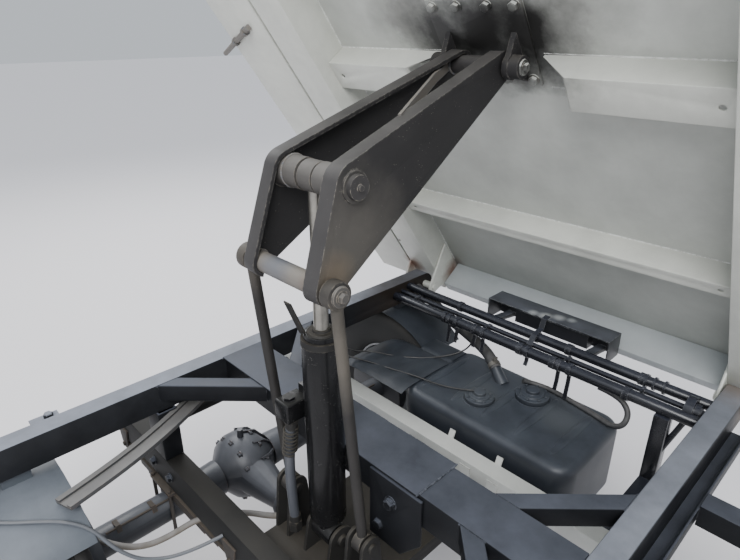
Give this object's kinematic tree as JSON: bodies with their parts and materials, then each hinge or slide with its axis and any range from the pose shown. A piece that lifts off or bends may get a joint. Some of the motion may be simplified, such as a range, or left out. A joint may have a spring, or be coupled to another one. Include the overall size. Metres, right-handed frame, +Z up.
{
  "type": "rear chassis section of a side-tipping dump truck with its hoist and bed",
  "caption": "Rear chassis of a light dump truck: rails, driven axle, wheels, fuel tank and a black subframe, with the bed tipped over its left edge by a cylinder, arm and links.",
  "frame": {"origin": "middle of the front face of the front end plate, where the section bolts to the cab frame", "axes": "+X forward along the truck, +Y to the truck's left, which is the side the bed tips to, +Z up"},
  "size_m": [1.824, 1.8676, 2.1151],
  "materials": {
    "bed_paint": "satin",
    "black_paint": "satin",
    "rail_paint": "satin",
    "arm_paint": "matte",
    "cylinder_paint": "gloss",
    "rod_chrome": "polished",
    "tank_plastic": "satin",
    "guard_plastic": "satin",
    "axle_iron": "matte",
    "spring_steel": "dull",
    "wheel_paint": "satin",
    "tyre_rubber": "matte",
    "lamp_lens": "gloss",
    "pin_steel": "dull"
  },
  "bodies": {
    "chassis": {"front_end_plate": "rail_paint", "chassis_rail_left": "rail_paint", "chassis_rail_right": "rail_paint", "cross_tubes": "rail_paint", "hoist_base": "arm_paint", "rear_axle": "axle_iron", "leaf_spring_left": "spring_steel", "leaf_spring_right": "spring_steel", "spring_hangers": "black_paint", "spring_clamps": "spring_steel", "front_beam": "black_paint", "rear_beam": "black_paint", "subframe_spine": "black_paint", "corner_braces": "black_paint", "spine_gusset": "black_paint", "front_channel": "black_paint", "beam_standoffs": "black_paint", "lock_shaft_upper": "black_paint", "lock_shaft_lower": "black_paint", "stay_post": "black_paint", "shaft_bracket": "black_paint", "fuel_tank": "tank_plastic", "tank_fittings": "pin_steel", "tank_straps": "black_paint", "tail_lamp_left": "lamp_lens", "tail_lamp_right": "lamp_lens", "lamp_bar": "black_paint", "propeller_shaft": "black_paint", "mudguard_left": "guard_plastic", "mudguard_right": "guard_plastic"},
    "wheel_left": {"tyre_left": "tyre_rubber", "rim_left": "wheel_paint"},
    "wheel_right": {"tyre_right": "tyre_rubber", "rim_right": "wheel_paint"},
    "bed": {"bed_floor": "bed_paint", "bed_sills": "bed_paint", "bed_hinge_ears": "bed_paint", "bed_ribs": "bed_paint", "bed_edge_rails": "bed_paint", "bed_hoist_bracket": "arm_paint", "headboard": "bed_paint", "headboard_posts": "bed_paint", "gate_hinges": "bed_paint"},
    "left_gate": {"left_gate": "bed_paint"},
    "right_gate": {"right_gate": "bed_paint"},
    "tailgate": {"tailgate": "bed_paint"},
    "hoist_arm": {"hoist_arm": "arm_paint"},
    "links": {"link_front": "arm_paint", "link_rear": "arm_paint"},
    "cylinder": {"cylinder_barrel": "cylinder_paint"},
    "rod": {"piston_rod": "rod_chrome"}
  },
  "joints": [
    {"name": "bed_tip", "type": "hinge", "parent": "chassis", "child": "bed", "pos_m": [0, 0.71, 0.2075], "axis": [-1, 0, 0], "range_deg": [-54, 0]},
    {"name": "arm_pivot", "type": "hinge", "parent": "bed", "child": "hoist_arm", "pos_m": [-0.978, 0.27199, 0.97454], "axis": [-1, 0, 0], "range_deg": [0, 71.1]},
    {"name": "link_pivot", "type": "hinge", "parent": "chassis", "child": "links", "pos_m": [-0.978, -0.16, 0.105], "axis": [-1, 0, 0], "range_deg": [-80.6, 0]},
    {"name": "cylinder_pivot", "type": "hinge", "parent": "chassis", "child": "cylinder", "pos_m": [-0.978, -0.152, 0.045], "axis": [-1, 0, 0], "range_deg": [-64, 0]},
    {"name": "rod_slide", "type": "slide", "parent": "cylinder", "child": "rod", "axis": [0, 0.0014, 1], "range_m": [-0.257, 0]},
    {"name": "left_gate_hinge", "type": "hinge", "parent": "bed", "child": "left_gate", "pos_m": [-0.895, 0.87352, 0.22742], "axis": [-1, 0, 0], "range_deg": [0, 90]},
    {"name": "right_gate_hinge", "type": "hinge", "parent": "bed", "child": "right_gate", "pos_m": [-0.895, -0.05518, 1.50567], "axis": [1, 0, 0], "range_deg": [0, 90]},
    {"name": "tailgate_hinge", "type": "hinge", "parent": "bed", "child": "tailgate", "pos_m": [-1.75, 0.40917, 0.86654], "axis": [0, -0.5878, 0.809], "range_deg": [0, 90]},
    {"name": "wheel_left_spin", "type": "hinge", "parent": "chassis", "child": "wheel_left", "pos_m": [-1.49, 0.612, -0.155], "axis": [0, 1, 0], "continuous": true},
    {"name": "wheel_right_spin", "type": "hinge", "parent": "chassis", "child": "wheel_right", "pos_m": [-1.49, -0.612, -0.155], "axis": [0, 1, 0], "continuous": true}
  ],
  "couplings": [
    {"joint": "arm_pivot", "follows": "bed_tip", "ratio": -1.3074},
    {"joint": "link_pivot", "follows": "bed_tip", "ratio": 1.4834},
    {"joint": "cylinder_pivot", "follows": "bed_tip", "ratio": 1.1766},
    {"joint": "rod_slide", "follows": "bed_tip", "m_per_rad": 0.27128}
  ]
}
